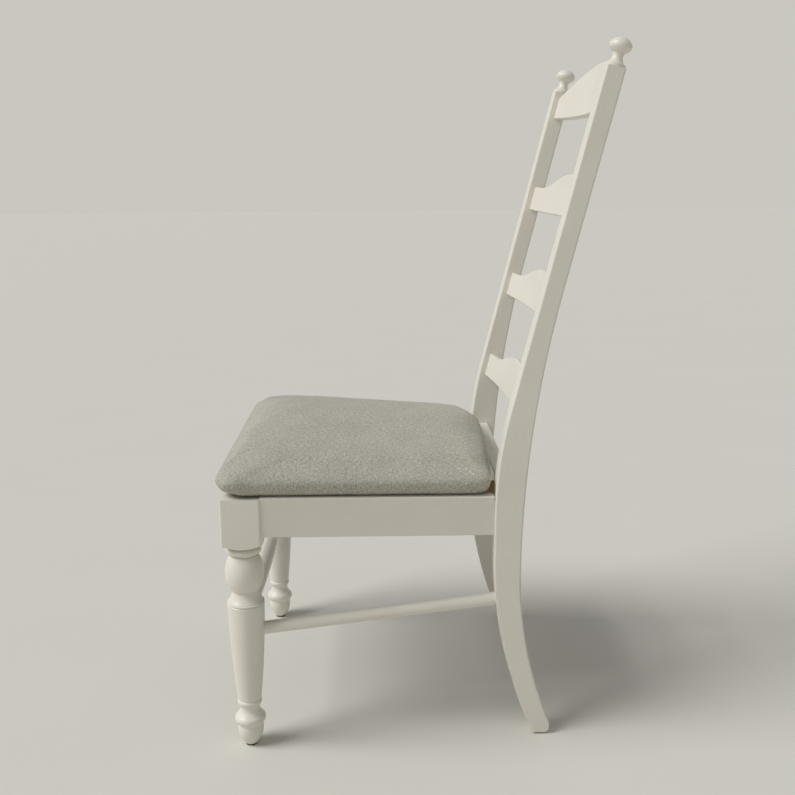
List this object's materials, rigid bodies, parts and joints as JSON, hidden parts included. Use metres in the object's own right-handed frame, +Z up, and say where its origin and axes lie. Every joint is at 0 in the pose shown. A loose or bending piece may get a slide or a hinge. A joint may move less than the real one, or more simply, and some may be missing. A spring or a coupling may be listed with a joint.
{
  "type": "ladderback dining chair",
  "caption": "Ladderback dining chair in painted wood, with turned front legs, bowed slats, small finials and a crowned fabric seat.",
  "frame": {"origin": "on the floor, at the middle of the chair's overall width and depth", "axes": "+Z up, the sitter faces -Y, the sitter's left is +X"},
  "size_m": [0.5606, 0.6213, 1.0598],
  "materials": {
    "paint": "satin warm off-white paint on wood",
    "bare_wood": "unfinished beech",
    "plywood": "unfinished plywood",
    "foam": "open-cell foam",
    "seat_fabric": "heathered warm grey woven fabric",
    "dust_cloth": "thin black non-woven cloth",
    "zinc_steel": "zinc plated",
    "glide_plastic": "dark brown moulded plastic"
  },
  "bodies": {
    "root": {"front_leg_left": "paint", "front_leg_right": "paint", "rear_leg_left": "paint", "rear_leg_right": "paint", "finial_left": "paint", "finial_right": "paint", "crest_slat": "paint", "upper_slat": "paint", "middle_slat": "paint", "lower_slat": "paint", "front_rail": "paint", "rear_rail": "paint", "side_rail_left": "paint", "side_rail_right": "paint", "side_stretcher_left": "paint", "side_stretcher_right": "paint", "front_stretcher": "paint", "corner_block_front_left": "bare_wood", "corner_block_front_right": "bare_wood", "corner_block_rear_left": "bare_wood", "corner_block_rear_right": "bare_wood", "front_rail_dowels": "bare_wood", "side_rail_dowels": "bare_wood", "rear_rail_dowels": "bare_wood", "seat_board": "plywood", "seat_foam": "foam", "seat_cover": "seat_fabric", "dust_cover": "dust_cloth", "corner_block_screws": "zinc_steel", "seat_screws": "zinc_steel", "cover_staples": "zinc_steel", "front_glide_left": "glide_plastic", "front_glide_right": "glide_plastic", "rear_glide_left": "glide_plastic", "rear_glide_right": "glide_plastic"}
  },
  "joints": []
}
